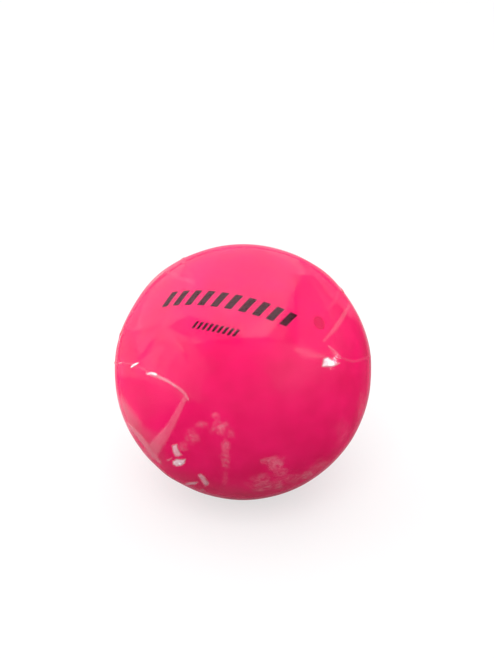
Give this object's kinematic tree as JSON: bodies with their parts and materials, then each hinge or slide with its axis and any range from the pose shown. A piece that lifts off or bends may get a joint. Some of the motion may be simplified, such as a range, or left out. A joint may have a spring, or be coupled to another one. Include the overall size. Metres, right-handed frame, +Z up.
{
  "type": "roller hockey ball",
  "caption": "Low-bounce roller hockey ball: hollow moulded shell with a fill plug and loose damping liquid inside, wrapped in creased clear shrink film with a welded seal.",
  "frame": {"origin": "centre of the ball", "axes": "+Z up as the ball lies still with its liquid settled, -Y towards the viewer of the printed side, +X to that viewer's right"},
  "size_m": [0.0653, 0.0654, 0.0654],
  "materials": {
    "shell_pvc": "satin",
    "plug_pvc": "satin",
    "damping_liquid": "gloss",
    "shrink_film": "gloss",
    "film_weld": "gloss"
  },
  "bodies": {
    "ball": {"ball_shell": "shell_pvc", "fill_plug": "plug_pvc", "film_front": "shrink_film", "film_back": "shrink_film", "film_seal": "film_weld"},
    "liquid": {"liquid_fill": "damping_liquid"}
  },
  "joints": [
    {"name": "liquid_roll", "type": "hinge", "parent": "ball", "child": "liquid", "pos_m": [0, 0, 0], "axis": [1, 0, 0], "continuous": true}
  ]
}
